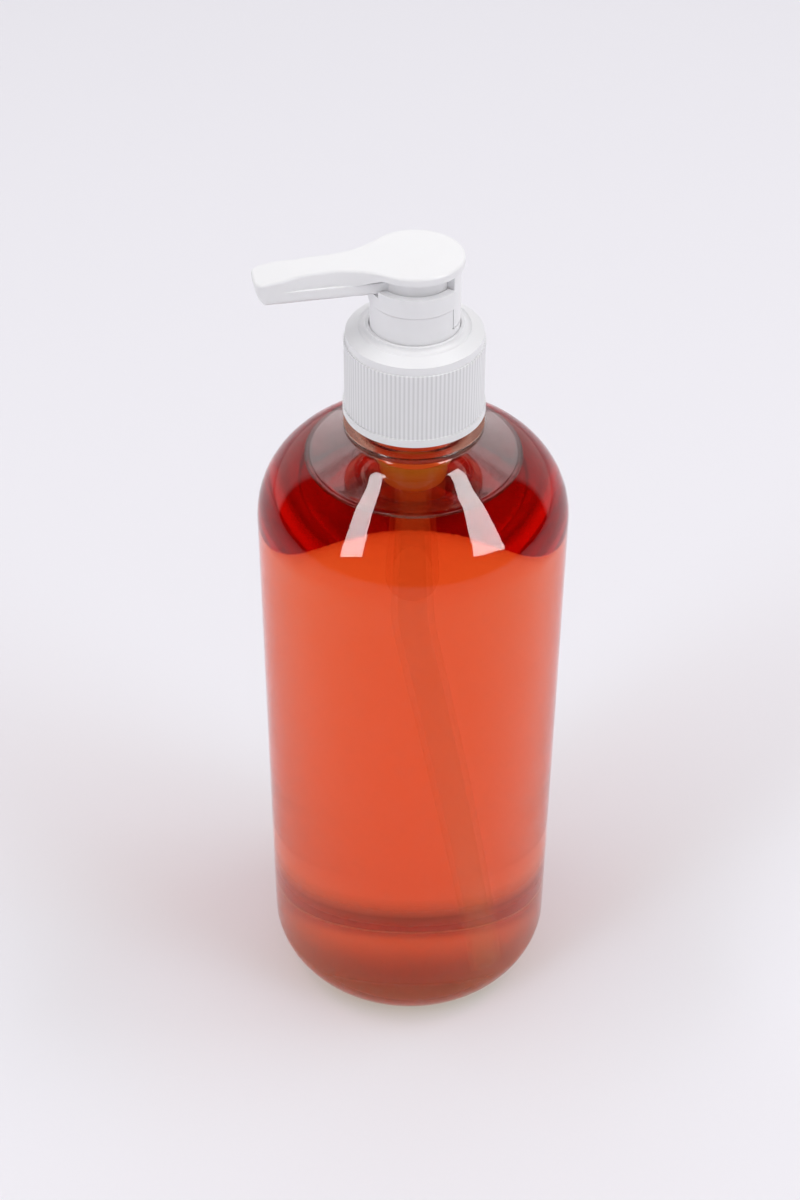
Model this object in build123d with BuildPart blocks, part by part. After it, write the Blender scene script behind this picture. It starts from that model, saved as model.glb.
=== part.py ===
from build123d import *
import os
from math import cos, degrees, radians, sin, sqrt, tan

# A hand pump bottle for oil: a clear blown bottle, a ribbed screw closure and a
# reciprocating pump whose paddle head is shown pushed down into its collar.
# Millimetres. Z is the bottle's axis, Z = 0 the surface that it stands on, and
# the nozzle points along -X.

# ---- bottle, one blown piece
body_d = 71.0  # outside diameter of the straight body
body_h = 140.0  # standing face to the start of the shoulder curve
pet_wall = 0.5  # wall of the body, heel, base and shoulder
heel_r = 12.0  # round of the heel
stand_w = 1.0  # width of the flat ring that the bottle stands on
pushup_h = 4.5  # rise of the base at its centre
gate_d = 4.0  # moulding nub left in the middle of the base
gate_h = 0.5
shoulder_r = 18.5  # shoulder curve above the body
shoulder_slope = 24.0  # degrees above level of the cone between curve and neck
neck_d = 25.4  # neck finish, outside diameter under the thread
neck_wall = 1.9
neck_rise = 2.2  # plain neck between the cone and the support ring
neck_fillet = 2.0
ring_out = 3.0  # support ring, out from the neck
ring_t = 1.5
ring_edge = 0.4  # chamfer of the ring's rim
finish_h = 18.5  # support ring to the sealing land

# ---- liquid
oil_over = 16.8  # surface above the end of the straight body
film = 0.15  # kept free round the pump that dips into the liquid

# ---- closure
closure_gap = 3.1  # support ring to the closure's lower edge
thread_room = 1.25  # between neck and closure, for the thread
closure_wall = 1.75  # bore to the crests of the ribs
rib_count = 100
rib_depth = 0.4
rib_root_w = 0.7
rib_crest_w = 0.3
band_h = 1.8  # plain band below the ribs
crown_step = 0.8  # the crown's side stands this far in from the ribs
crown_side_h = 1.9  # plain vertical side of the crown
crown_t = 3.2  # crown thickness at the hole for the collar
crown_flat_w = 0.7  # flat ring round the hole
crown_cove = 0.9  # drop and width of the hollow curve outside the flat ring
crown_cove_w = 1.6
hole_gap = 0.2  # radial clearance round the tower, the closure snaps on over its rim

# ---- stack clamped on the land
gasket_t = 1.0
gasket_w = 2.6
flange_in = 0.3  # flanges of housing and collar, in from the neck's outside
housing_flange_t = 1.2
collar_floor_t = 1.1

# ---- pump housing
chamber_d = 12.6  # bore that the piston runs in
housing_wall = 1.0
chamber_len = 40.0  # top of the housing flange to the spring seat
seat_t = 1.4  # shelf that the spring stands on
cage_d = 7.4  # room of the inlet ball
cage_h = 6.2
inlet_d = 4.2  # hole under the ball
ball_d = 5.6
taper_h = 5.0  # outside cone between the chamber and the tube socket
socket_len = 14.0
socket_wall = 1.1
vent_d = 1.2  # hole that lets air into the bottle
vent_drop = 5.0  # below the housing flange

# ---- dip tube
tube_d = 6.2
tube_bore = 4.2
tube_grip = 12.0  # length pushed into the socket
tube_bend_r = 70.0  # bend just below the socket
tube_lean = 8.6  # degrees off upright below the bend
tube_end_h = 4.6  # height of the lower end's centre
tube_az = -46.0  # degrees from +X, the way the tube leans

# ---- collar with its tower
tower_d = 19.4
tower_wall = 1.4
tower_h = 14.2  # above the collar's floor
rim_d = 20.0  # the tower is thicker near its rim
rim_h = 4.2
rim_taper = 0.5
guide_d = 10.0  # inner tube that guides the stem
guide_h = 9.9
stop_gap = 0.3  # piston's top to the snap skirt's edge at the end of the stroke
snap_wall = 1.0
notch_floor = 12.7  # floor of the nozzle's notch above the collar's floor
tail_half = 45.0  # degrees each side of +X that the head's tail takes up
tail_gap = 0.3  # clearance round the tail and the nozzle
tail_rise = 4.9  # lower edge of the tail above the collar's floor

# ---- stem, valve plug, piston and spring
stroke = 12.0
stem_d = 7.0
stem_bore = 4.0
stem_gap = 0.3  # radial clearance in the guide
spring_len = 16.0  # pushed down
spring_d = 9.6  # over the wire
spring_wire = 0.8
spring_turns = 6
spring_sides = 4  # the wire is drawn as a four-sided bar
plug_d = 10.0  # valve plate that the spring pushes on
plug_t = 1.4
plug_seat = 0.8  # cone on top of the plate
plug_neck_d = 4.6
plug_grip = 6.0  # fluted end pressed into the stem
flute_w = 1.2
spigot_d = 6.4  # locates the spring
spigot_h = 2.6
piston_h = 5.0
piston_slip = 1.2  # free travel of the piston that opens the valve
piston_hub_d = 8.2
piston_bore = 5.6
piston_gap = 0.04  # radial running clearance in the chamber
lip_t = 0.7
lip_h = 1.9

# ---- head, one moulding
disc_d = 20.8  # round end over the stem
plate_t = 1.8  # rim of the round end
plate_rise = 17.8  # underside of the round end above the collar's floor
head_reach = 34.3  # axis to the nozzle's end
duct_w = 8.6  # square-shouldered duct below the arm
duct_round = 1.3  # lower edges of the duct
duct_base = 13.0  # underside of the duct above the collar's floor
duct_h = 3.0
waist_w = 7.2  # arm above the duct, at its narrowest
waist_end = 9.3  # end of the waist, back from the nozzle's end
flare_len = 5.3  # the arm is as wide as the duct over this last length
arm_curve = 0.583  # inside curves between arm and round end, as a share of the reach
waist_fillet = 7.0
wall_from = 8.5  # the arm's side deepens from the plate to the duct between these
wall_to = 13.0
tip_round = 2.2  # corners of the nozzle's end seen from above
droop = 1.7  # fall of the top at the nozzle's end
droop_from = 17.0
tip_under = 6.8  # how far the end's lower edge lies behind its upper one
edge_round = 0.6  # top edges
skirt_d = 15.8  # tube that plunges into the tower
skirt_wall = 1.0
skirt_lift = 3.4  # its lower edge above the collar's floor
hub_d = 9.6  # socket of the stem
hub_gap = 1.2  # its lower edge above the collar's guide
stem_seat = 13.0  # top of the stem above the collar's floor
channel_d = 2.6  # passage to the outlet
channel_rise = 1.7  # its axis above the duct's underside

overrun = 2.0  # how far cuts run past a face

# ---- levels and radii that follow
body_r = body_d / 2
neck_r = neck_d / 2
mouth_r = neck_r - neck_wall
ring_r = neck_r + ring_out
bore_r = neck_r + thread_room
flange_r = neck_r - flange_in
oil_level = body_h + oil_over
slope = radians(shoulder_slope)
curve_r = body_r - shoulder_r + shoulder_r * sin(slope)
curve_z = body_h + shoulder_r * cos(slope)
root_z = curve_z + (curve_r - neck_r) * tan(slope)
ring_z = root_z + neck_rise
ring_top = ring_z + ring_t
land_z = ring_top + finish_h
closure_z = ring_top + closure_gap
housing_z = land_z + gasket_t
clamp_z = housing_z + housing_flange_t
floor_z = clamp_z + collar_floor_t
crown_z = floor_z + crown_t
seat_z = clamp_z - chamber_len
cage_z = seat_z - seat_t - cage_h
socket_z = cage_z - socket_len
rim_z = floor_z + tower_h
plug_z = seat_z + spring_len
piston_z = plug_z + plug_t + piston_slip
stem_z = piston_z + piston_h
snap_z = stem_z + stroke + stop_gap
stem_top = floor_z + stem_seat
plate_z = floor_z + plate_rise
head_z = plate_z + plate_t
duct_z = floor_z + duct_base
duct_top = duct_z + duct_h
channel_z = duct_z + channel_rise
chamber_r = chamber_d / 2
tower_in = tower_d / 2 - tower_wall


def wall_line(inset, upper_r, top):
    """Half outline of the blown form, moved inwards by inset, from the axis to the neck."""
    stand_r = body_r - heel_r
    dome_r = stand_r - stand_w
    turn = inset * sin(slope)
    curve_end = (curve_r - turn, curve_z - inset * cos(slope))
    upper_z = curve_end[1] + (curve_end[0] - upper_r) * tan(slope)
    heel_c, curve_c = (stand_r, heel_r), (body_r - shoulder_r, body_h)
    dome = (dome_r, inset)
    TangentArc((0, pushup_h + inset), dome, tangent=(1, 0))
    Line(dome, (stand_r, inset))
    CenterArc(heel_c, heel_r - inset, -90, 90)
    Line((body_r - inset, heel_r), (body_r - inset, body_h))
    CenterArc(curve_c, shoulder_r - inset, 0, 90 - shoulder_slope)
    Polyline(curve_end, (upper_r, upper_z), (upper_r, top), (0, top), (0, pushup_h + inset))


# ---- bottle
with BuildPart() as bottle:
    with BuildSketch(Plane.XZ) as outside:
        with BuildLine():
            wall_line(0, neck_r, land_z)
        make_face()
        with Locations((0, ring_z)):
            Rectangle(ring_r, ring_t, align=(Align.MIN, Align.MIN))
        rim = [v for v in outside.vertices() if abs(v.X - ring_r) < ring_edge]
        chamfer(rim, ring_edge)
        corner = outside.vertices().sort_by_distance((neck_r, 0, root_z))[0]
        fillet(corner, neck_fillet)
    revolve(axis=Axis.Z)
    with BuildSketch(Plane.XZ):
        with BuildLine():
            wall_line(pet_wall, mouth_r, land_z + overrun)
        make_face()
    revolve(axis=Axis.Z, mode=Mode.SUBTRACT)
    with BuildSketch(Plane.XZ):
        with Locations((0, pushup_h - gate_h)):
            Rectangle(gate_d / 2, gate_h + pet_wall / 2, align=(Align.MIN, Align.MIN))
    revolve(axis=Axis.Z)

# ---- gasket on the land
with BuildPart() as gasket:
    with BuildSketch(Plane.XY.offset(land_z)):
        Circle(flange_r)
        Circle(flange_r - gasket_w, mode=Mode.SUBTRACT)
    extrude(amount=gasket_t)

# ---- housing: flange, chamber, ball cage and tube socket
housing_r = chamber_r + housing_wall
socket_r = tube_d / 2 + socket_wall
housing_shape = [
    (0, clamp_z),
    (flange_r, clamp_z),
    (flange_r, housing_z),
    (housing_r, housing_z),
    (housing_r, seat_z - seat_t),
    (socket_r, seat_z - seat_t - taper_h),
    (socket_r, socket_z),
    (0, socket_z),
]
chamber_shape = [
    (0, clamp_z + overrun),
    (chamber_r, clamp_z + overrun),
    (chamber_r, seat_z),
    (cage_d / 2, seat_z),
    (cage_d / 2, cage_z + (cage_d - inlet_d) / 2),
    (inlet_d / 2, cage_z),
    (inlet_d / 2, socket_z + tube_grip),
    (tube_d / 2, socket_z + tube_grip),
    (tube_d / 2, socket_z - overrun),
    (0, socket_z - overrun),
]
with BuildPart() as housing:
    with BuildSketch(Plane.XZ):
        with BuildLine():
            Polyline(*housing_shape, close=True)
        make_face()
        with BuildLine():
            Polyline(*chamber_shape, close=True)
        make_face(mode=Mode.SUBTRACT)
    revolve(axis=Axis.Z)
    with Locations(Plane.YZ.offset(chamber_r - overrun) * Location((0, housing_z - vent_drop, 0))):
        Cylinder(
            vent_d / 2,
            housing_wall + 2 * overrun,
            align=(Align.CENTER, Align.CENTER, Align.MIN),
            mode=Mode.SUBTRACT,
        )

# ---- inlet ball on its cone
ball_r = ball_d / 2
ball_z = cage_z + ball_r * sqrt(2) - inlet_d / 2
with BuildPart() as inlet_ball:
    with Locations((0, 0, ball_z)):
        Sphere(ball_r)

# ---- dip tube, leaning out to the heel
lean = radians(tube_az)
tube_plane = Plane(origin=(0, 0, 0), x_dir=(cos(lean), sin(lean), 0), z_dir=(sin(lean), -cos(lean), 0))
tube_top = socket_z + tube_grip


def tube_solid(radius, below):
    """The tube's run with the given radius, below lets it start lower in the socket."""
    with BuildPart() as run:
        with BuildLine(tube_plane) as route:
            Line((0, tube_top - below), (0, socket_z))
            bend = JernArc((0, socket_z), (0, -1), tube_bend_r, tube_lean)
            drop = ((bend @ 1).Z - tube_end_h) / cos(radians(tube_lean))
            Line(bend @ 1, (bend @ 1) + (bend % 1) * drop)
        with BuildSketch(Plane(origin=route.line @ 0, z_dir=route.line % 0)):
            Circle(radius)
        sweep(path=route.line)
    return run.part


with BuildPart() as dip_tube:
    add(tube_solid(tube_d / 2, 0))
    add(tube_solid(tube_bore / 2, 0), mode=Mode.SUBTRACT)

# ---- liquid, round the dipping pump
with BuildPart() as oil:
    with BuildSketch(Plane.XZ) as filled:
        with BuildLine():
            wall_line(pet_wall, mouth_r, land_z)
        make_face()
        Rectangle(body_r, oil_level, align=(Align.MIN, Align.MIN), mode=Mode.INTERSECT)
    revolve(axis=Axis.Z)
    with BuildSketch(Plane.XZ):
        with BuildLine():
            Polyline(
                (0, oil_level + overrun),
                (housing_r + film, oil_level + overrun),
                (housing_r + film, seat_z - seat_t),
                (socket_r + film, seat_z - seat_t - taper_h),
                (socket_r + film, socket_z - film),
                (0, socket_z - film),
                close=True,
            )
        make_face()
    revolve(axis=Axis.Z, mode=Mode.SUBTRACT)
    add(tube_solid(tube_d / 2 + film, tube_grip / 2), mode=Mode.SUBTRACT)

# ---- collar: floor, tower, stem guide and snap skirt
guide_in = stem_d / 2 + stem_gap
collar_shape = [
    (guide_in, snap_z),
    (chamber_r, snap_z),
    (chamber_r, clamp_z),
    (flange_r, clamp_z),
    (flange_r, floor_z),
    (tower_d / 2, floor_z),
    (tower_d / 2, rim_z - rim_h - rim_taper),
    (rim_d / 2, rim_z - rim_h),
    (rim_d / 2, rim_z),
    (tower_in, rim_z),
    (tower_in, floor_z),
    (guide_d / 2, floor_z),
    (guide_d / 2, floor_z + guide_h),
    (guide_in, floor_z + guide_h),
]
tail_cut = tail_half + degrees(tail_gap / (tower_d / 2))
with BuildPart() as collar:
    with BuildSketch(Plane.XZ):
        with BuildLine():
            Polyline(*collar_shape, close=True)
        make_face()
        with Locations((0, clamp_z - collar_floor_t)):
            Rectangle(
                chamber_r - snap_wall,
                clamp_z - collar_floor_t - snap_z + overrun,
                align=(Align.MIN, Align.MAX),
                mode=Mode.SUBTRACT,
            )
    revolve(axis=Axis.Z)
    with BuildSketch(Plane.XY.offset(floor_z + notch_floor)):
        Rectangle(rim_d, duct_w + 2 * tail_gap, align=(Align.MAX, Align.CENTER))
        Circle(tower_in - tail_gap, mode=Mode.SUBTRACT)
    extrude(amount=tower_h, mode=Mode.SUBTRACT)
    with BuildSketch(Plane.XY.offset(floor_z + tail_rise - tail_gap)):
        with BuildLine():
            far = rim_d / cos(radians(tail_cut))
            edge = (far * cos(radians(tail_cut)), far * sin(radians(tail_cut)))
            Polyline((0, 0), edge, (edge[0], -edge[1]), close=True)
        make_face()
        Circle(guide_d / 2 + tail_gap, mode=Mode.SUBTRACT)
    extrude(amount=tower_h, mode=Mode.SUBTRACT)

# ---- closure: ribbed skirt and stepped crown
closure_r = bore_r + closure_wall
rib_r = closure_r - rib_depth
crown_r = closure_r - crown_step
hole_r = tower_d / 2 + hole_gap
ledge_z = floor_z - crown_side_h / 2
side_z = ledge_z + crown_side_h
cove_r = hole_r + crown_flat_w + crown_cove_w
with BuildPart() as closure:
    with BuildSketch(Plane.XY.offset(closure_z + band_h)):
        Circle(rib_r)
        with PolarLocations(rib_r, rib_count):
            with BuildLine():
                Polyline(
                    (-rib_depth, -rib_root_w / 2),
                    (0, -rib_root_w / 2),
                    (rib_depth, -rib_crest_w / 2),
                    (rib_depth, rib_crest_w / 2),
                    (0, rib_root_w / 2),
                    (-rib_depth, rib_root_w / 2),
                    close=True,
                )
            make_face()
    extrude(amount=ledge_z - closure_z - band_h)
    with BuildSketch(Plane.XZ):
        with BuildLine():
            Polyline(
                (hole_r, closure_z), (closure_r, closure_z), (closure_r, closure_z + band_h),
                (rib_r, closure_z + band_h), (rib_r, ledge_z), (crown_r, ledge_z), (crown_r, side_z),
                (cove_r, crown_z - crown_cove),
            )
            TangentArc(
                (hole_r + crown_flat_w, crown_z), (cove_r, crown_z - crown_cove), tangent=(0, -1)
            )
            Polyline((hole_r + crown_flat_w, crown_z), (hole_r, crown_z), (hole_r, closure_z))
        make_face()
    revolve(axis=Axis.Z)
    with BuildSketch(Plane.XY.offset(closure_z)):
        Circle(bore_r)
    extrude(amount=floor_z - closure_z, mode=Mode.SUBTRACT)
    with BuildSketch(Plane.XY.offset(closure_z)):
        Circle(hole_r)
    extrude(amount=crown_z - closure_z + overrun, mode=Mode.SUBTRACT)

# ---- stem
with BuildPart() as stem:
    with BuildSketch(Plane.XY.offset(stem_z)):
        Circle(stem_d / 2)
        Circle(stem_bore / 2, mode=Mode.SUBTRACT)
    extrude(amount=stem_top - stem_z)

# ---- valve plug: spigot, plate, neck and fluted grip
with BuildPart() as valve_plug:
    with BuildSketch(Plane.XZ):
        with BuildLine():
            Polyline(
                (0, plug_z - spigot_h),
                (spigot_d / 2, plug_z - spigot_h),
                (spigot_d / 2, plug_z),
                (plug_d / 2, plug_z),
                (plug_d / 2, plug_z + plug_t - plug_seat),
                (plug_neck_d / 2, plug_z + plug_t),
                (plug_neck_d / 2, stem_z),
                (0, stem_z),
                close=True,
            )
        make_face()
    revolve(axis=Axis.Z)
    with BuildSketch(Plane.XY.offset(stem_z)):
        Circle(stem_bore / 2)
        with PolarLocations(stem_bore / 2, 4, start_angle=45):
            Circle(stem_bore / 2 - flute_w / 2, mode=Mode.SUBTRACT)
    extrude(amount=plug_grip)

# ---- piston with an upper and a lower lip
lip_r = chamber_r - piston_gap
with BuildPart() as piston:
    with BuildSketch(Plane.XZ):
        with BuildLine():
            Polyline(
                (piston_bore / 2, piston_z),
                (piston_hub_d / 2, piston_z),
                (piston_hub_d / 2, piston_z + lip_h),
                (lip_r - lip_t, piston_z + lip_t),
                (lip_r, piston_z + lip_t),
                (lip_r, piston_z + piston_h - lip_t),
                (lip_r - lip_t, piston_z + piston_h - lip_t),
                (piston_hub_d / 2, piston_z + piston_h - lip_h),
                (piston_hub_d / 2, piston_z + piston_h),
                (piston_bore / 2, piston_z + piston_h),
                close=True,
            )
        make_face()
    revolve(axis=Axis.Z)

# ---- spring between the housing's shelf and the valve plate
coil_r = (spring_d - spring_wire) / 2
with BuildPart() as spring:
    with BuildLine() as coil:
        Helix((spring_len - spring_wire) / spring_turns, spring_len - spring_wire, coil_r,
              center=(0, 0, seat_z + spring_wire / 2))
    with BuildSketch(Plane(origin=coil.line @ 0, z_dir=coil.line % 0)):
        RegularPolygon(spring_wire / 2, spring_sides)
    sweep(path=coil.line, is_frenet=True)

# ---- head: round end, waisted arm, duct with its outlet, skirt, stem socket and tail
disc_r = disc_d / 2
skirt_r = skirt_d / 2
waist_half = waist_w / 2
waist_to = head_reach - waist_end
arm_fillet = arm_curve * head_reach
duct_half = duct_w / 2
half_arm = [
    (0, waist_half),
    (-waist_to, waist_half),
    (flare_len - head_reach, duct_half),
    (-head_reach, duct_half),
]
end_top = head_z - droop
with BuildPart() as head:
    # round end and waisted arm, from the duct's shoulders up
    with BuildSketch(Plane.XY.offset(duct_top)) as plan:
        with BuildLine():
            Polyline(*half_arm, *[(x, -y) for x, y in reversed(half_arm)], close=True)
        make_face()
        Circle(disc_r)
        fillet(plan.vertices().group_by(Axis.X)[0], tip_round)
        fillet([v for v in plan.vertices() if abs(v.X + waist_to) < arm_fillet / 4], waist_fillet)
        fillet([v for v in plan.vertices() if abs(v.X) < disc_r < abs(v.X) + waist_half], arm_fillet)
    extrude(amount=head_z - duct_top)
    # top falling to the nozzle
    with BuildSketch(Plane.XZ):
        with BuildLine():
            TangentArc((-droop_from, head_z), (-head_reach, end_top), tangent=(-1, 0))
            Polyline(
                (-head_reach, end_top),
                (-head_reach - overrun, end_top),
                (-head_reach - overrun, head_z + overrun),
                (-droop_from, head_z + overrun),
                (-droop_from, head_z),
            )
        make_face()
    extrude(amount=disc_r, both=True, mode=Mode.SUBTRACT)
    tops = [f for f in head.faces() if f.normal_at().Z > cos(slope)]
    seams = [e for e in tops[0].edges() if any(e.is_same(o) for f in tops[1:] for o in f.edges())]
    crest = [e for f in tops for e in f.edges() if not any(e.is_same(o) for o in seams)]
    fillet(crest, edge_round)
    # the round end is only as deep as its plate
    with BuildSketch(Plane.XZ):
        with BuildLine():
            Polyline(
                (disc_r + overrun, duct_top - overrun),
                (disc_r + overrun, plate_z),
                (-wall_from, plate_z),
                (-wall_to, duct_top),
                (-wall_to, duct_top - overrun),
                close=True,
            )
        make_face()
    extrude(amount=disc_r + overrun, both=True, mode=Mode.SUBTRACT)
    # duct from the stem to the nozzle
    with BuildSketch(Plane.XY.offset(duct_z)) as duct_plan:
        Rectangle(head_reach, duct_w, align=(Align.MAX, Align.CENTER))
        fillet(duct_plan.vertices().group_by(Axis.X)[0], tip_round)
    extrude(amount=duct_h)
    keel = [e for e in head.edges().group_by(Axis.Z)[0] if e.center().X < -overrun]
    fillet(keel, duct_round)
    # socket of the stem and skirt in the tower
    with BuildSketch(Plane.XY.offset(floor_z + guide_h + hub_gap)):
        Circle(hub_d / 2)
    extrude(amount=plate_rise - guide_h - hub_gap)
    with BuildSketch(Plane.XY.offset(floor_z + skirt_lift)):
        Circle(skirt_r)
        Circle(skirt_r - skirt_wall, mode=Mode.SUBTRACT)
    extrude(amount=plate_rise - skirt_lift)
    # tail that fills the tower's rear cut-out
    with BuildSketch(Plane.XY.offset(floor_z + tail_rise)):
        with BuildLine():
            out = tower_d / 2
            a = radians(tail_half)
            ThreePointArc((out * cos(a), -out * sin(a)), (out, 0), (out * cos(a), out * sin(a)))
            hold = skirt_r - skirt_wall / 2
            Line((out * cos(a), out * sin(a)), (hold * cos(a), hold * sin(a)))
            ThreePointArc((hold * cos(a), hold * sin(a)), (hold, 0), (hold * cos(a), -hold * sin(a)))
            Line((hold * cos(a), -hold * sin(a)), (out * cos(a), -out * sin(a)))
        make_face()
    extrude(amount=plate_rise - tail_rise)
    # undercut end
    with BuildSketch(Plane.XZ):
        with BuildLine():
            TangentArc(
                (-head_reach, end_top - edge_round), (-head_reach + tip_under, duct_z), tangent=(0, -1)
            )
            Polyline(
                (-head_reach + tip_under, duct_z),
                (-head_reach + tip_under, duct_z - overrun),
                (-head_reach - overrun, duct_z - overrun),
                (-head_reach - overrun, end_top - edge_round),
                (-head_reach, end_top - edge_round),
            )
        make_face()
    extrude(amount=duct_w, both=True, mode=Mode.SUBTRACT)
    # bore for the stem, and the passage from it to the outlet
    with BuildSketch(Plane.XY.offset(floor_z + guide_h)):
        Circle(stem_d / 2)
    extrude(amount=stem_seat - guide_h, mode=Mode.SUBTRACT)
    with BuildSketch(Plane.XY.offset(stem_top - overrun)):
        Circle(stem_bore / 2)
    extrude(amount=channel_z + channel_d / 2 - stem_top + overrun, mode=Mode.SUBTRACT)
    with BuildSketch(Plane.YZ) as bore:
        with Locations((0, channel_z)):
            Circle(channel_d / 2)
    extrude(amount=-head_reach - overrun, mode=Mode.SUBTRACT)

pieces = {
    "bottle": bottle,
    "oil": oil,
    "gasket": gasket,
    "housing": housing,
    "inlet_ball": inlet_ball,
    "dip_tube": dip_tube,
    "collar": collar,
    "closure": closure,
    "stem": stem,
    "valve_plug": valve_plug,
    "piston": piston,
    "spring": spring,
    "head": head,
}
os.makedirs("parts", exist_ok=True)
for name, piece in pieces.items():
    piece.part.label = name
    export_step(piece.part, f"parts/{name}.step")
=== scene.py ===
"""A hand pump bottle for oil, dressed for a studio picture.

The clear bottle and its liquid are turned again here with a fine skin, so that they refract
cleanly. The moulded parts keep their CAD shapes and get their plastics, steel and foam.
Metres. Z is the bottle's axis, and the nozzle points along -X.
"""
import bpy
import numpy as np
from mathutils import Matrix, Vector


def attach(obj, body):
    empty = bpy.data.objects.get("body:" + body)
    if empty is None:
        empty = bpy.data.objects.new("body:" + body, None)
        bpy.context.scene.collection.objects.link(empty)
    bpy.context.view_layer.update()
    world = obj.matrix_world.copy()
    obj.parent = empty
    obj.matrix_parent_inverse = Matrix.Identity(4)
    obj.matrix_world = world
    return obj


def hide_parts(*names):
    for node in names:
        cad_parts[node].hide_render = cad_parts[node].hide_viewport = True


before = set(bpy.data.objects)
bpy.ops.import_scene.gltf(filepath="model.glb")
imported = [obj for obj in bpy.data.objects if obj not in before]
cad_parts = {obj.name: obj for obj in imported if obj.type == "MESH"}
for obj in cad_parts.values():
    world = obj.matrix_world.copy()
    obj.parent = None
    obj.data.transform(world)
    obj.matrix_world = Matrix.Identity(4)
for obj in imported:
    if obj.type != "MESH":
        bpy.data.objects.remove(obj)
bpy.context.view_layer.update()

# ---- sizes of the blown bottle, in metres, as in the CAD
BODY_R, BODY_H, WALL, HEEL_R = 0.0355, 0.140, 0.0005, 0.012
STAND_R, DOME_R, PUSH_UP = 0.0235, 0.0225, 0.0045
CURVE_R, SLOPE = 0.0185, np.radians(24.0)
NECK_R, MOUTH_R, RING_R, RING_T, FILLET = 0.0127, 0.0108, 0.0157, 0.0015, 0.002
CURVE_C = BODY_R - CURVE_R
ROOT_Z = BODY_H + CURVE_R * np.cos(SLOPE) + (CURVE_C + CURVE_R * np.sin(SLOPE) - NECK_R) * np.tan(SLOPE)
RING_Z = ROOT_Z + 0.0022
LAND_Z = RING_Z + RING_T + 0.0185
LEVEL = 0.1568  # of the liquid
LAP = 0.00005  # by which the liquid enters the wall
FILL_TOP, FACE_FOOT = LEVEL - 0.0001, LEVEL - 0.0003  # of the liquid's body and its surface disc
HOUSING_R = 0.0073  # of the pump's chamber
RIBS, RIBS_FROM, RIBS_TO = 100, 0.170765, 0.186715  # of the closure: how many, and between which heights

# ---- the thread's ridge
THREAD_TURNS, THREAD_PITCH, THREAD_START, THREAD_TOP = 1.6, 0.0042, 0.4, LAND_Z - 0.0032
THREAD_HALF, THREAD_DEPTH, THREAD_ROOT = 0.0011, 0.0011, NECK_R - 0.00005

# ---- looks that several materials or lamps share
INDEX = 1.44  # of refraction, of the wall with the liquid behind it
# the foot's stipple and its painted shade fade over these radii
STIPPLE_AND_SHADE_FULL, STIPPLE_AND_SHADE_GONE = STAND_R + 0.006, STAND_R + 0.0105  # radii over which it fades at the foot
FADE = 0.024  # depth at which the liquid hides the pump
STRIP_SHINE = 21  # strength of the strip lamps in mirror images
SWEEP_FROM, SWEEP_TO = 0.36, 0.44  # how far backwards a ray points where the white sweep begins


# ---------------------------------------------------------------- profiles and skins
def run(*corners, step=0.002):
    """Points along straight lines between corners, evenly spaced, at most step apart."""
    out = [np.array(corners[:1], float)]
    for a, b in zip(corners, corners[1:]):
        n = max(1, int(np.ceil(np.hypot(b[0] - a[0], b[1] - a[1]) / step)))
        t = np.linspace(0, 1, n + 1)[1:, None]
        out.append(np.array(a) * (1 - t) + np.array(b) * t)
    return np.concatenate(out)


def bow(centre, radius, start, end, count):
    """Points of an arc: the centre plus the radius times the cosine and sine of an angle, which
    runs evenly from start to end, in degrees."""
    a = np.radians(np.linspace(start, end, count))
    return np.stack([centre[0] + radius * np.cos(a), centre[1] + radius * np.sin(a)], -1)


def joined(*parts):
    """The parts of a profile in one line, without points that repeat."""
    line = np.concatenate(parts)
    keep = np.r_[True, np.hypot(*np.diff(line, axis=0).T) > 1e-7]
    return line[keep]


def blown_line(inset):
    """Half outline of the blown form from the axis to the end of the shoulder curve, moved in by
    inset: a dome that is an arc about the axis, the standing ring, the heel's quarter circle, the
    straight body and the shoulder's arc."""
    dome = (DOME_R**2 + PUSH_UP**2) / (2 * PUSH_UP)
    edge = np.degrees(np.arcsin(DOME_R / dome))
    slope = np.degrees(SLOPE)
    return joined(
        bow((0, PUSH_UP + inset - dome), dome, 90, 90 - edge, 26),
        run((DOME_R, inset), (STAND_R, inset)),
        bow((STAND_R, HEEL_R), HEEL_R - inset, -90, 0, 30),
        run((BODY_R - inset, HEEL_R), (BODY_R - inset, BODY_H), step=0.006),
        bow((CURVE_C, BODY_H), CURVE_R - inset, 0, 90 - slope, 40),
    )


def on_cone(inset, r=None, z=None):
    """The point of the shoulder's cone with the given radius or height, for that inset. Outwards the
    cone falls by the tangent of its slope."""
    r0 = CURVE_C + (CURVE_R - inset) * np.sin(SLOPE)
    z0 = BODY_H + (CURVE_R - inset) * np.cos(SLOPE)
    if r is None:
        return (r0 - (z - z0) / np.tan(SLOPE), z)
    return (r, z0 + (r0 - r) * np.tan(SLOPE))


def turned(line, sides=192):
    """Solid of revolution: each point of the profile goes round the axis at its own height, at its
    radius times the cosine and sine of the turn. The first and last points lie on the axis, and
    fans of triangles close them."""
    r, z = line[:, 0], line[:, 1]
    t = np.linspace(0, 2 * np.pi, sides, endpoint=False)
    ring = np.stack(
        [np.outer(r[1:-1], np.cos(t)), np.outer(r[1:-1], np.sin(t)), np.outer(z[1:-1], np.ones(sides))], -1
    )
    points = np.concatenate([[[0, 0, z[0]]], ring.reshape(-1, 3), [[0, 0, z[-1]]]])
    j = np.arange(sides)
    nxt = (j + 1) % sides
    k = 1 + np.arange(len(r) - 3)[:, None] * sides
    quads = np.stack([k + j, k + nxt, k + nxt + sides, k + j + sides], -1).reshape(-1, 4)
    top = 1 + (len(r) - 3) * sides
    fans = np.concatenate([
        np.stack([0 * j, 1 + nxt, 1 + j], -1),
        np.stack([top + j, top + nxt, 0 * j + len(points) - 1], -1),
    ])
    return points, quads, fans


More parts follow.
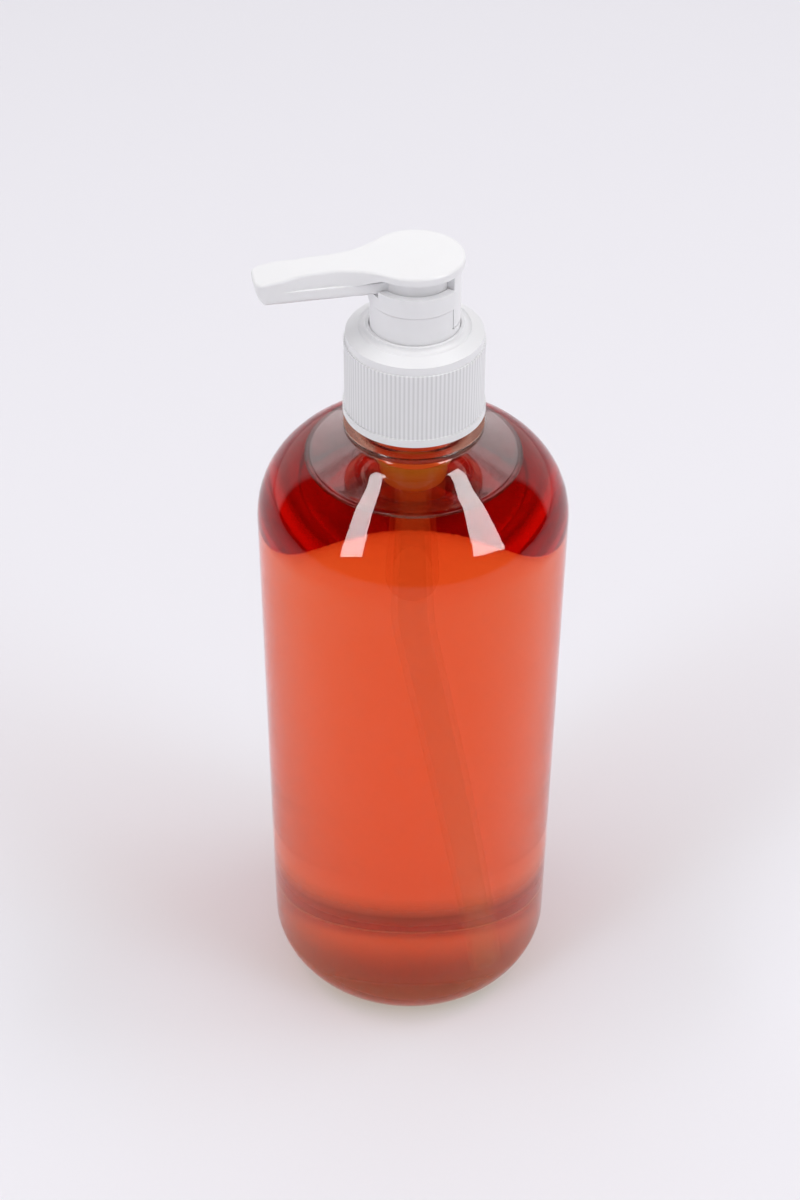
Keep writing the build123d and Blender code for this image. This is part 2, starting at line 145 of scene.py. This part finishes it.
def piece(name, points, quads, fans, materials, body, slot, sharp=40.0):
    """Puts one skin into the scene as a named piece that rides on a body."""
    mesh = bpy.data.meshes.new(name)
    loops = np.concatenate([quads.ravel(), fans.ravel()]).astype(np.int32)
    totals = np.r_[np.full(len(quads), 4), np.full(len(fans), 3)].astype(np.int32)
    mesh.vertices.add(len(points))
    mesh.vertices.foreach_set("co", np.asarray(points, np.float32).ravel())
    mesh.loops.add(len(loops))
    mesh.loops.foreach_set("vertex_index", loops)
    mesh.polygons.add(len(totals))
    mesh.polygons.foreach_set("loop_start", np.r_[0, np.cumsum(totals)[:-1]].astype(np.int32))
    mesh.polygons.foreach_set("loop_total", totals)
    mesh.update(calc_edges=True)
    mesh.validate()
    mesh.polygons.foreach_set("use_smooth", np.ones(len(totals), bool))
    mesh.set_sharp_from_angle(angle=np.radians(sharp))
    for material in materials:
        mesh.materials.append(material)
    thing = bpy.data.objects.new(name, mesh)
    bpy.context.scene.collection.objects.link(thing)
    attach(thing, body)
    return thing


def each_face(thing, what):
    """The "center" or the "normal" of each face, as rows of x, y, z."""
    out = np.zeros(len(thing.data.polygons) * 3, np.float32)
    thing.data.polygons.foreach_get(what, out)
    return out.reshape(-1, 3)


# ---------------------------------------------------------------- materials
def node(tree, kind, links=(), **values):
    """A node with input values by socket name, and links as (socket name, output socket)."""
    made = tree.nodes.new(kind)
    for key, value in values.items():
        if hasattr(made, key):
            setattr(made, key, value)
        else:
            made.inputs[key.replace("_", " ")].default_value = value
    for socket, source in links:
        tree.links.new(source, made.inputs[socket])
    return made


def group(name, inputs, outputs):
    """An empty shader group with named float or colour inputs and outputs."""
    tree = bpy.data.node_groups.new(name, "ShaderNodeTree")
    for label, kind, value in inputs:
        socket = tree.interface.new_socket(label, in_out="INPUT", socket_type=kind)
        socket.default_value = value
    for label, kind in outputs:
        tree.interface.new_socket(label, in_out="OUTPUT", socket_type=kind)
    return tree, tree.nodes.new("NodeGroupInput"), tree.nodes.new("NodeGroupOutput")


FLOAT, COLOR, VECTOR = "NodeSocketFloat", "NodeSocketColor", "NodeSocketVector"


def relief(tree, slow, slow_depth, fine, fine_depth):
    """Normal of a skin whose height is the sum of two noises, each times its own depth."""
    lows = node(tree, "ShaderNodeMath", [(0, slow), (1, slow_depth)], operation="MULTIPLY")
    both = node(tree, "ShaderNodeMath", [(0, fine), (1, fine_depth), (2, lows.outputs[0])],
                operation="MULTIPLY_ADD")
    bump = node(tree, "ShaderNodeBump", [("Height", both.outputs[0])], Distance=1.0, Strength=1.0)
    return bump.outputs["Normal"]


def moulded_skin():
    """Moulded plastic: the tone drifts with slow noise, the gloss with finer noise, and the
    surface has a low wave and a fine spark grain."""
    tree, given, made = group(
        "moulded_skin",
        [("Tone A", COLOR, (0.8, 0.8, 0.8, 1)), ("Tone B", COLOR, (0.75, 0.75, 0.75, 1)),
         ("Gloss low", FLOAT, 0.3), ("Gloss high", FLOAT, 0.4), ("Grain", FLOAT, 0.00001),
         ("Wave", FLOAT, 0.00003)],
        [("Color", COLOR), ("Roughness", FLOAT), ("Normal", VECTOR)],
    )
    at = node(tree, "ShaderNodeTexCoord").outputs["Object"]
    drift = node(tree, "ShaderNodeTexNoise", [("Vector", at)], Scale=70.0, Detail=3.0)
    smear = node(tree, "ShaderNodeTexNoise", [("Vector", at)], Scale=420.0, Detail=4.0)
    grain = node(tree, "ShaderNodeTexNoise", [("Vector", at)], Scale=5200.0, Detail=2.0)
    wave = node(tree, "ShaderNodeTexNoise", [("Vector", at)], Scale=110.0, Detail=1.0)
    tone = node(tree, "ShaderNodeMix", [
        (0, drift.outputs["Fac"]), (6, given.outputs["Tone A"]), (7, given.outputs["Tone B"])],
        data_type="RGBA")
    gloss = node(tree, "ShaderNodeMapRange", [
        ("Value", smear.outputs["Fac"]), ("To Min", given.outputs["Gloss low"]),
        ("To Max", given.outputs["Gloss high"])])
    normal = relief(tree, wave.outputs["Fac"], given.outputs["Wave"],
                    grain.outputs["Fac"], given.outputs["Grain"])
    tree.links.new(tone.outputs[2], made.inputs["Color"])
    tree.links.new(gloss.outputs["Result"], made.inputs["Roughness"])
    tree.links.new(normal, made.inputs["Normal"])
    return tree


def blown_skin():
    """Blown wall: slow waves of the stretched wall and a finer flow, as one normal."""
    tree, given, made = group(
        "blown_skin", [("Wave", FLOAT, 0.00006), ("Flow", FLOAT, 0.000004)], [("Normal", VECTOR)])
    at = node(tree, "ShaderNodeTexCoord").outputs["Object"]
    place = node(tree, "ShaderNodeMapping", [("Vector", at)])
    place.inputs["Scale"].default_value = (1, 1, 0.55)
    wave = node(tree, "ShaderNodeTexNoise", [("Vector", place.outputs[0])], Scale=75.0, Detail=1.5)
    flow = node(tree, "ShaderNodeTexNoise", [("Vector", place.outputs[0])], Scale=520.0, Detail=2.0)
    normal = relief(tree, wave.outputs["Fac"], given.outputs["Wave"],
                    flow.outputs["Fac"], given.outputs["Flow"])
    tree.links.new(normal, made.inputs["Normal"])
    return tree


MOULDED, BLOWN = moulded_skin(), blown_skin()


def surface(name):
    """A new material with its tree, its Principled shader and its output."""
    material = bpy.data.materials.new(name)
    material.use_nodes = True
    tree = material.node_tree
    return material, tree, tree.nodes["Principled BSDF"], tree.nodes["Material Output"]


def set_all(shader, **values):
    """Sets the shader's own inputs by name."""
    for key, value in values.items():
        shader.inputs[key.replace("_", " ")].default_value = value


def let_light_in(tree, shader, output, tint):
    """Rays from lamps and from matt surfaces pass straight through, tinted, because they can't find
    a way through glass."""
    path = node(tree, "ShaderNodeLightPath")
    clear = node(tree, "ShaderNodeBsdfTransparent", Color=tint)
    last = shader.outputs[0]
    for kind in ("Is Diffuse Ray", "Is Shadow Ray"):
        mix = node(tree, "ShaderNodeMixShader", [(0, path.outputs[kind]), (1, last), (2, clear.outputs[0])])
        last = mix.outputs[0]
    tree.links.new(last, output.inputs["Surface"])


def height_mask(tree, low, high):
    """0 below low and 1 above high, along Z of the object."""
    at = node(tree, "ShaderNodeTexCoord").outputs["Object"]
    parts = node(tree, "ShaderNodeSeparateXYZ", [("Vector", at)])
    return node(tree, "ShaderNodeMapRange", [("Value", parts.outputs["Z"])],
                From_Min=low, From_Max=high).outputs["Result"]


def clear_wall():
    """Blown clear plastic, seen against air. The foot that it stands on is stippled, and darker with painted
    shade for the dim light under the bottle: the larger of two ramps, of the distance from the axis and of
    the height, leads from there to the plain wall. From the ring up, painted amber light tints the neck, for
    the glow it takes from the liquid and the pump, and a higher roughness dulls it."""
    material, tree, shader, output = surface("clear_wall")
    skin = node(tree, "ShaderNodeGroup", node_tree=BLOWN)
    skin.inputs["Wave"].default_value = 0.00001
    tree.links.new(skin.outputs["Normal"], shader.inputs["Normal"])
    at = node(tree, "ShaderNodeTexCoord").outputs["Object"]
    flat = node(tree, "ShaderNodeVectorMath", [(0, at)], operation="MULTIPLY")
    flat.inputs[1].default_value = (1, 1, 0)
    far = node(tree, "ShaderNodeVectorMath", [(0, flat.outputs["Vector"])], operation="LENGTH")
    heel = node(tree, "ShaderNodeMapRange", [("Value", far.outputs["Value"])],
                From_Min=STIPPLE_AND_SHADE_FULL, From_Max=STIPPLE_AND_SHADE_GONE)
    above = node(
        tree, "ShaderNodeMath", [(0, heel.outputs["Result"]), (1, height_mask(tree, HEEL_R, HEEL_R + 0.002))],
        operation="MAXIMUM").outputs[0]
    foot = node(tree, "ShaderNodeMapRange", [("Value", above)], To_Min=0.5, To_Max=0.015)
    neck = height_mask(tree, RING_Z - 0.001, RING_Z)
    gloss = node(tree, "ShaderNodeMix", [(0, neck), (2, foot.outputs["Result"])])
    gloss.inputs[3].default_value = 0.16
    tree.links.new(gloss.outputs[0], shader.inputs["Roughness"])
    # painted shade under the bottle: the dark tone of the foot
    tone = node(tree, "ShaderNodeMix", [(0, above)], data_type="RGBA")
    tone.inputs[6].default_value = (0.13, 0.14, 0.16, 1)
    tone.inputs[7].default_value = (0.985, 0.99, 0.99, 1)
    # painted light: an amber tint from the ring up, for the glow the neck takes from the liquid and the pump
    painted_neck_glow = node(tree, "ShaderNodeMix", [(0, neck), (6, tone.outputs[2])], data_type="RGBA")
    painted_neck_glow.inputs[7].default_value = (0.78, 0.42, 0.3, 1)
    tree.links.new(painted_neck_glow.outputs[2], shader.inputs["Base Color"])
    set_all(shader, IOR=INDEX, Transmission_Weight=1.0, Specular_Tint=(0.65, 0.65, 0.65, 1))
    let_light_in(tree, shader, output, (0.95, 0.96, 0.98, 1))
    return material


def wetted_wall():
    """Inner face of the wall where liquid wets it: the two indices nearly match, so it neither
    bends nor mirrors light."""
    material, tree, shader, output = surface("wetted_wall")
    set_all(shader, Base_Color=(1, 1, 1, 1), Roughness=0.0, IOR=1.0, Transmission_Weight=1.0)
    let_light_in(tree, shader, output, (0.68, 0.98, 0.98, 1))
    return material


def oil_body():
    """Liquid inside the wall: it only colours the light that crosses it."""
    material, tree, shader, output = surface("oil_body")
    set_all(shader, Base_Color=(1, 1, 1, 1), Roughness=0.0, IOR=1.0, Transmission_Weight=1.0)
    let_light_in(tree, shader, output, (1, 1, 1, 1))
    soak = node(tree, "ShaderNodeVolumeAbsorption", Color=(0.967, 0.423, 0.0, 1), Density=52.0)
    tree.links.new(soak.outputs[0], output.inputs["Volume"])
    return material


def oil_top():
    """Free surface of the liquid, glossier than the wall. Its grey base colour is painted shade: it dims the
    light seen through the surface.
    """
    material, tree, shader, output = surface("oil_top")
    skin = node(tree, "ShaderNodeGroup", node_tree=BLOWN)
    skin.inputs["Wave"].default_value = 0.00002
    skin.inputs["Flow"].default_value = 0.0
    tree.links.new(skin.outputs["Normal"], shader.inputs["Normal"])
    # painted shade: the grey base colour darkens what is seen through the surface
    set_all(shader, Base_Color=(0.5, 0.42, 0.4, 1), Roughness=0.0, IOR=INDEX, Transmission_Weight=1.0,
            Coat_Weight=1.0, Coat_IOR=1.62)
    let_light_in(tree, shader, output, (1, 0.95, 0.88, 1))
    return material


def plastic(name, light, dark, gloss, grain, wave, soft=0.0):
    """Moulded plastic with the shared skin."""
    material, tree, shader, output = surface(name)
    skin = node(tree, "ShaderNodeGroup", node_tree=MOULDED)
    skin.inputs["Tone A"].default_value = (*light, 1)
    skin.inputs["Tone B"].default_value = (*dark, 1)
    skin.inputs["Gloss low"].default_value, skin.inputs["Gloss high"].default_value = gloss
    skin.inputs["Grain"].default_value, skin.inputs["Wave"].default_value = grain, wave
    for label in ("Roughness", "Normal"):
        tree.links.new(skin.outputs[label], shader.inputs[label])
    tree.links.new(skin.outputs["Color"], shader.inputs["Base Color"])
    set_all(shader, IOR=1.49)
    if soft:
        set_all(shader, Subsurface_Weight=soft, Subsurface_Scale=0.0015)
        shader.inputs["Subsurface Radius"].default_value = (1.0, 0.95, 0.9)
    return material, tree, shader, skin


def painted_groove_shade():
    """Painted shade of the closure's ribs: 1 on the crests, less in the grooves, where shade falls. Between
    the plain band and the crown it follows the cosine of the angle about Z times the number of ribs."""
    tree, given, made = group("painted_groove_shade", [("Groove", FLOAT, 0.8)], [("Tone", COLOR)])
    at = node(tree, "ShaderNodeTexCoord").outputs["Object"]
    parts = node(tree, "ShaderNodeSeparateXYZ", [("Vector", at)])
    turn = node(tree, "ShaderNodeMath", [(0, parts.outputs["Y"]), (1, parts.outputs["X"])],
                operation="ARCTAN2")
    many = node(tree, "ShaderNodeMath", [(0, turn.outputs[0])], operation="MULTIPLY")
    many.inputs[1].default_value = RIBS
    wave = node(tree, "ShaderNodeMath", [(0, many.outputs[0])], operation="COSINE")
    crest = node(tree, "ShaderNodeMapRange", [("Value", wave.outputs[0])], From_Min=-1.0, From_Max=0.6)
    low = node(tree, "ShaderNodeMapRange", [("Value", parts.outputs["Z"])],
               From_Min=RIBS_FROM - 0.0001, From_Max=RIBS_FROM + 0.0001)
    high = node(tree, "ShaderNodeMapRange", [("Value", parts.outputs["Z"])],
                From_Min=RIBS_TO + 0.0001, From_Max=RIBS_TO - 0.0001)
    inside = node(tree, "ShaderNodeMath", [(0, low.outputs[0]), (1, high.outputs[0])], operation="MULTIPLY")
    bare = node(tree, "ShaderNodeMath", [(1, inside.outputs[0])], operation="SUBTRACT")
    bare.inputs[0].default_value = 1.0
    keep = node(tree, "ShaderNodeMath", [(0, crest.outputs[0]), (1, bare.outputs[0])], operation="MAXIMUM")
    # painted shade: the grooves fall to the Groove value
    tone = node(tree, "ShaderNodeMapRange", [("Value", keep.outputs[0]), ("To Min", given.outputs["Groove"])])
    tree.links.new(tone.outputs[0], made.inputs["Tone"])
    return tree


def ribbed_plastic():
    """White plastic of the closure, with painted shade that darkens the grooves between the ribs."""
    material, tree, shader, skin = plastic(
        "white_pp_closure", (0.86, 0.86, 0.875), (0.82, 0.82, 0.84), (0.34, 0.46), 0.000006, 0.00002)
    # painted shade in the grooves, multiplied into the plastic's colour
    shade = node(tree, "ShaderNodeGroup", node_tree=painted_groove_shade())
    mixed = node(tree, "ShaderNodeMix", [(6, skin.outputs["Color"]), (7, shade.outputs["Tone"])],
                 data_type="RGBA", blend_type="MULTIPLY")
    mixed.inputs[0].default_value = 1.0
    tree.links.new(mixed.outputs[2], shader.inputs["Base Color"])
    return material


def natural_plastic():
    """Milky plastic, stained above the liquid's surface. Under it the liquid hides the plastic more
    the deeper it stands."""
    material, tree, shader, skin = plastic(
        "natural_pp", (0.95, 0.3, 0.02), (0.9, 0.26, 0.015), (0.28, 0.4), 0.000004, 0.00004)
    dry = height_mask(tree, LEVEL - 0.0004, LEVEL + 0.0006)
    stain = node(tree, "ShaderNodeMix", [(0, dry), (6, skin.outputs["Color"])], data_type="RGBA")
    stain.inputs[7].default_value = (0.96, 0.1, 0.004, 1)
    tree.links.new(stain.outputs[2], shader.inputs["Base Color"])
    veil = node(tree, "ShaderNodeMapRange", [("Value", height_mask(tree, LEVEL - FADE, LEVEL))],
                To_Min=0.08, To_Max=0.98)
    tree.links.new(veil.outputs["Result"], shader.inputs["Alpha"])
    return material


def tube_plastic():
    """Thin milky tube that the liquid almost hides."""
    material, tree, shader, _ = plastic(
        "clear_tube", (0.95, 0.9, 0.84), (0.9, 0.84, 0.76), (0.25, 0.35), 0.000003, 0.00003)
    fine = node(tree, "ShaderNodeTexNoise", Scale=240.0)
    veil = node(tree, "ShaderNodeMapRange", [("Value", fine.outputs["Fac"])], To_Min=0.05, To_Max=0.09)
    tree.links.new(veil.outputs["Result"], shader.inputs["Alpha"])
    return material


def wire_steel():
    """Drawn spring wire: bright metal with a faint drift of tone."""
    material, _, shader, _ = plastic(
        "spring_steel", (0.62, 0.62, 0.63), (0.5, 0.5, 0.52), (0.2, 0.36), 0.000004, 0.0)
    set_all(shader, Metallic=1.0)
    return material


def closed_foam():
    """Pressed foam of the gasket, with small cells."""
    material, tree, shader, _ = plastic(
        "foam", (0.84, 0.84, 0.83), (0.72, 0.72, 0.71), (0.7, 0.9), 0.00002, 0.0)
    at = node(tree, "ShaderNodeTexCoord").outputs["Object"]
    cells = node(tree, "ShaderNodeTexVoronoi", [("Vector", at)], Scale=4200.0)
    dent = node(tree, "ShaderNodeMath", [(0, cells.outputs["Distance"])], operation="MULTIPLY")
    dent.inputs[1].default_value = 0.00006
    bump = node(tree, "ShaderNodeBump", [("Height", dent.outputs[0])], Distance=1.0, Strength=0.8)
    tree.links.new(bump.outputs["Normal"], shader.inputs["Normal"])
    return material


# ---------------------------------------------------------------- the bottle
def bottle_line():
    """Outline of the wall: outside from the axis up to the land, and inside back to the axis."""
    root = (NECK_R + FILLET, ROOT_Z - FILLET * np.tan(SLOPE) + FILLET / np.cos(SLOPE))
    slope = np.degrees(SLOPE)
    lip = 0.0004
    ring_top = RING_Z + RING_T
    throat, shoulder = (MOUTH_R, on_cone(WALL, r=MOUTH_R)[1] + 0.0006), on_cone(WALL, r=MOUTH_R + 0.0008)
    outside = joined(
        blown_line(0.0),
        run(on_cone(0.0, r=CURVE_C + CURVE_R * np.sin(SLOPE)),
            (root[0] - FILLET * np.sin(SLOPE), root[1] - FILLET * np.cos(SLOPE)), step=0.003),
        bow(root, FILLET, 270 - slope, 180, 12),
        run((NECK_R, max(root[1], RING_Z - 0.0001)), (NECK_R, RING_Z), (RING_R - lip, RING_Z)),
        bow((RING_R - lip, RING_Z + lip), lip, -90, 0, 6),
        bow((RING_R - lip, ring_top - lip), lip, 0, 90, 6),
        run((RING_R - lip, ring_top), (NECK_R, ring_top), (NECK_R, LAND_Z - lip), step=0.003),
        bow((NECK_R - lip, LAND_Z - lip), lip, 0, 90, 6),
        run((NECK_R - lip, LAND_Z), (MOUTH_R + lip, LAND_Z)),
        bow((MOUTH_R + lip, LAND_Z - lip), lip, 90, 180, 6),
    )
    inside = joined(
        blown_line(WALL),
        run(blown_line(WALL)[-1], on_cone(WALL, z=LEVEL)),
        run(on_cone(WALL, z=LEVEL), shoulder, step=0.003),
        run(shoulder, throat),
        run(throat, (MOUTH_R, LAND_Z - lip), step=0.004),
    )
    return joined(outside, inside[::-1])


def blown_bottle(clear, wet):
    """Turned wall. The faces that the liquid wets get their own material: those below its surface
    that face the axis, or near the axis, where the wall is level, face the bottle's middle."""
    thing = piece("blown_bottle", *turned(bottle_line()), [clear, wet], "bottle_body", "clear_pet", 50)
    at, facing = each_face(thing, "center"), each_face(thing, "normal")
    r, z = np.hypot(at[:, 0], at[:, 1]), at[:, 2]
    to_axis = (facing[:, :2] * at[:, :2]).sum(1) < 0
    to_middle = facing[:, 2] * np.where(z < BODY_H / 2, 1, -1) > 0
    inner = np.where(r < STAND_R, to_middle, to_axis)
    thing.data.polygons.foreach_set("material_index", (inner & (z < LEVEL)).astype(np.int32))
    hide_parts("bottle")


def thread(material):
    """Ridge of the neck finish: a bar whose section is half a sine wave, made fuller by a power, is
    carried along a helix on the neck. Its height grows and fades over its first and last eighth."""
    u = np.linspace(0, 1, 321)[:, None]
    v = np.linspace(0, 1, 13)[None, :]
    swell = np.clip(np.minimum(u, 1 - u) * 8, 0.02, 1) ** 0.5
    a = 2 * np.pi * THREAD_TURNS * u + THREAD_START
    across = np.cos(np.pi * v) * THREAD_HALF
    proud = np.sin(np.pi * v) ** 0.6 * THREAD_DEPTH * swell
    r = THREAD_ROOT + proud
    z = THREAD_TOP - THREAD_PITCH * THREAD_TURNS * (1 - u) + across
    grid = np.stack([r * np.cos(a), r * np.sin(a), z + 0 * r], -1)
    m, n = grid.shape[:2]
    k, j = np.arange(m - 1)[:, None] * n, np.arange(n - 1)[None, :]
    skin = np.stack([k + j, k + j + 1, k + n + j + 1, k + n + j], -1).reshape(-1, 4)
    back = np.arange(m - 1) * n
    foot = np.stack([back + n - 1, back, back + n, back + 2 * n - 1], -1)
    caps = np.concatenate([
        np.stack([0 * np.arange(n - 2), np.arange(2, n), np.arange(1, n - 1)], -1),
        (m - 1) * n + np.stack([0 * np.arange(n - 2), np.arange(1, n - 1), np.arange(2, n)], -1),
    ])
    piece("neck_thread", grid.reshape(-1, 3), np.concatenate([skin, foot]), caps,
          [material], "bottle_body", "clear_pet")


# ---------------------------------------------------------------- the liquid
def oil(material):
    """Turned body of liquid: the blown form, moved in by a little less than the wall, up to a level
    top. It laps into the wall, and the pump stands in it."""
    inset = WALL - LAP
    edge = on_cone(inset, z=FILL_TOP)
    line = joined(blown_line(inset), run(blown_line(inset)[-1], edge), run(edge, (0, FILL_TOP), step=0.004))
    thing = piece("oil_fill", *turned(line), [material], "bottle_body", "fish_oil", 50)
    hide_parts("oil")


def oil_face(top, wet):
    """Free surface as a thin turned disc. Its height is the level plus a small climb at the pump,
    that falls off exponentially with the distance from it, and a smaller one at the wall."""
    edge = on_cone(WALL - LAP, z=LEVEL)[0]
    outer = HOUSING_R + np.linspace(0.02, 1, 26) ** 2 * (edge - HOUSING_R)
    r = np.r_[np.linspace(0, HOUSING_R, 6), outer]
    pump_climb, pump_reach, wall_climb, wall_reach = 0.0007, 0.0011, 0.0002, 0.0009
    z = LEVEL + pump_climb * np.exp(-np.clip(r - HOUSING_R, 0, None) / pump_reach) * (r >= HOUSING_R)
    z = z + wall_climb * np.exp(-(edge - r) / wall_reach)
    upper = np.stack([r, z], -1)[::-1]
    upper[0] = on_cone(WALL - LAP, z=upper[0][1])
    lower = run((0, FACE_FOOT), on_cone(WALL - LAP, z=FACE_FOOT), step=0.006)
    thing = piece("oil_surface", *turned(joined(lower, upper)), [wet, top], "bottle_body", "fish_oil", 50)
    upwards = each_face(thing, "normal")[:, 2] > 0.1
    thing.data.polygons.foreach_set("material_index", upwards.astype(np.int32))


# ---------------------------------------------------------------- dressing
def dress(name, material):
    """Gives a CAD node its material."""
    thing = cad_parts[name]
    if not thing.material_slots:
        thing.data.materials.append(material)
    for held in thing.material_slots:
        held.material = material


clear, wet = clear_wall(), wetted_wall()
blown_bottle(clear, wet)
thread(clear)
oil(oil_body())
oil_face(oil_top(), wet)

white, *_ = plastic(
    "white_pp", (0.86, 0.86, 0.875), (0.82, 0.82, 0.835), (0.3, 0.42), 0.000005, 0.00004, soft=0.12)
ribbed = ribbed_plastic()
stem_white, *_ = plastic(
    "white_pp_inner", (0.84, 0.83, 0.82), (0.78, 0.77, 0.75), (0.3, 0.4), 0.000004, 0.00002)
ball, *_ = plastic("ball_glass", (0.5, 0.62, 0.6), (0.42, 0.55, 0.53), (0.04, 0.09), 0.0, 0.0)
natural, tube, wire, foam = natural_plastic(), tube_plastic(), wire_steel(), closed_foam()
for name, material in {
    "closure": ribbed, "collar": white, "head": white, "stem": stem_white, "piston": natural,
    "valve_plug": stem_white, "housing": natural, "dip_tube": tube, "spring": wire,
    "inlet_ball": ball, "gasket": foam,
}.items():
    dress(name, material)


# ---------------------------------------------------------------- studio
TURN = Matrix.Rotation(np.radians(-12.0), 3, "Z")  # from the camera's frame to the bottle's
REACH = 2.6  # of the lamps, from the shoulder
SHOULDER = (0, 0, 0.15)


def stand(name, points, faces, material):
    """Puts one mesh of the studio into the scene. It isn't part of the object."""
    mesh = bpy.data.meshes.new(name)
    mesh.from_pydata(points, [], faces)
    mesh.materials.append(material)
    thing = bpy.data.objects.new(name, mesh)
    bpy.context.scene.collection.objects.link(thing)
    return thing


def studio_floor():
    """Plain pale table, far larger than the picture."""
    material, tree, shader, _ = surface("pale_floor")
    at = node(tree, "ShaderNodeTexCoord").outputs["Object"]
    fine = node(tree, "ShaderNodeTexNoise", [("Vector", at)], Scale=900.0, Detail=2.0)
    tone = node(tree, "ShaderNodeMix", [(0, fine.outputs["Fac"])], data_type="RGBA")
    tone.inputs[6].default_value = (0.845, 0.835, 0.885, 1)
    tone.inputs[7].default_value = (0.855, 0.845, 0.895, 1)
    tree.links.new(tone.outputs[2], shader.inputs["Base Color"])
    set_all(shader, Roughness=0.75, Specular_IOR_Level=0.15)
    half = 6.0
    corners = [(-half, -half, 0), (half, -half, 0), (half, half, 0), (-half, half, 0)]
    stand("studio_floor", corners, [(0, 1, 2, 3)], material)


def strip_lamp(name, outer, inner, light):
    """Long soft box as one glowing sheet. Its two edges are given as directions from the shoulder,
    in degrees of azimuth and elevation, and stand REACH away. Matt surfaces meet it with strength
    light, mirror images with STRIP_SHINE, and it doesn't show through the bottle."""
    at = np.radians(np.stack([outer, inner], 1).reshape(-1, 2))
    az, el = at[:, 0], at[:, 1]
    ways = np.stack([np.cos(el) * np.cos(az), np.cos(el) * np.sin(az), np.sin(el)], -1)
    points = ways * REACH @ np.array(TURN).T + SHOULDER
    k = 2 * np.arange(len(outer) - 1)
    faces = np.stack([k, k + 1, k + 3, k + 2], -1)
    material = bpy.data.materials.new(name)
    material.use_nodes = True
    tree = material.node_tree
    tree.nodes.remove(tree.nodes["Principled BSDF"])
    path = node(tree, "ShaderNodeLightPath")
    level = node(tree, "ShaderNodeMapRange", [("Value", path.outputs["Is Glossy Ray"])],
                 To_Min=light, To_Max=STRIP_SHINE)
    glow = node(tree, "ShaderNodeEmission", [("Strength", level.outputs["Result"])], Color=(1, 0.99, 0.99, 1))
    tree.links.new(glow.outputs[0], tree.nodes["Material Output"].inputs["Surface"])
    stand(name, points.tolist(), faces.tolist(), material).visible_transmission = False


def studio_air():
    """White sweep behind the object, dimmer studio in front and above, and nearly dark there in
    mirror images. The camera always sees white."""
    world = bpy.data.worlds.new("studio_air")
    bpy.context.scene.world = world
    world.use_nodes = True
    tree = world.node_tree
    sky = tree.nodes["Background"]
    at = node(tree, "ShaderNodeTexCoord").outputs["Generated"]
    along = node(tree, "ShaderNodeVectorMath", [(0, at)], operation="DOT_PRODUCT")
    along.inputs[1].default_value = TURN @ Vector((0, 1, -0.3))
    path = node(tree, "ShaderNodeLightPath")
    front = node(tree, "ShaderNodeMapRange", [("Value", path.outputs["Is Glossy Ray"])],
                 To_Min=0.36, To_Max=0.02)
    sweep = node(
        tree, "ShaderNodeMapRange", [("Value", along.outputs["Value"]), ("To Min", front.outputs["Result"])],
        From_Min=SWEEP_FROM, From_Max=SWEEP_TO, To_Max=0.95)
    level = node(tree, "ShaderNodeMix", [(0, path.outputs["Is Camera Ray"]), (2, sweep.outputs["Result"])])
    level.inputs[3].default_value = 0.86
    tree.links.new(level.outputs[0], sky.inputs["Strength"])
    sky.inputs["Color"].default_value = (1.0, 0.99, 1.0, 1)


def camera():
    """The photograph's camera: its place, its turn about Z, its tilt and its roll."""
    data = bpy.data.cameras.new("camera")
    data.lens, data.sensor_width = 63.0, 36.0
    data.clip_start, data.clip_end = 0.01, 50.0
    thing = bpy.data.objects.new("camera", data)
    thing.matrix_world = (
        Matrix.Translation((-0.0792, -0.3728, 0.4319))
        @ Matrix.Rotation(-0.2018, 4, "Z")
        @ Matrix.Rotation(np.pi / 2 - 0.696, 4, "X")
        @ Matrix.Rotation(0.0053, 4, "Z")
    )
    bpy.context.scene.collection.objects.link(thing)
    bpy.context.scene.camera = thing


# the arm of the head would hide half of the left strip in the bottle's mirror image
for name in ("head", "collar", "closure"):
    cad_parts[name].visible_glossy = False

studio_floor()
strip_lamp("lamp_left_back", [(137, 49), (148.7, 63.8), (150, 65), (169.6, 64), (185.5, 60.4)],
           [(142.8, 60), (150.4, 71.1), (151.3, 72), (156.9, 72.5), (184.6, 71)], 8.8)
strip_lamp("lamp_left_front", [(185.5, 60.4), (202.3, 50.9), (211.1, 39.3), (217.3, 17.6)],
           [(184.6, 71), (212, 62), (223.9, 50.1), (231.5, 28.2)], 5.7)
strip_lamp("lamp_right_back", [(42, 49), (33.3, 58.8), (17.7, 57.3), (8.8, 54.9), (-1.7, 49.9)],
           [(39.6, 53.5), (30, 66.8), (29.1, 67.8), (18.4, 68), (-2.3, 65.8)], 8.8)
strip_lamp("lamp_right_front", [(-1.7, 49.9), (-12.6, 39.2), (-18.3, 26.9), (-20.4, 15)],
           [(-2.3, 65.8), (-24.7, 57.3), (-35.9, 46.1), (-44.1, 25)], 4.2)
studio_air()
camera()
scene = bpy.context.scene
scene.view_settings.view_transform = "Standard"
scene.cycles.max_bounces = 40
scene.cycles.transmission_bounces = 40
scene.cycles.glossy_bounces = 12
scene.cycles.transparent_max_bounces = 40
scene.cycles.caustics_refractive = False
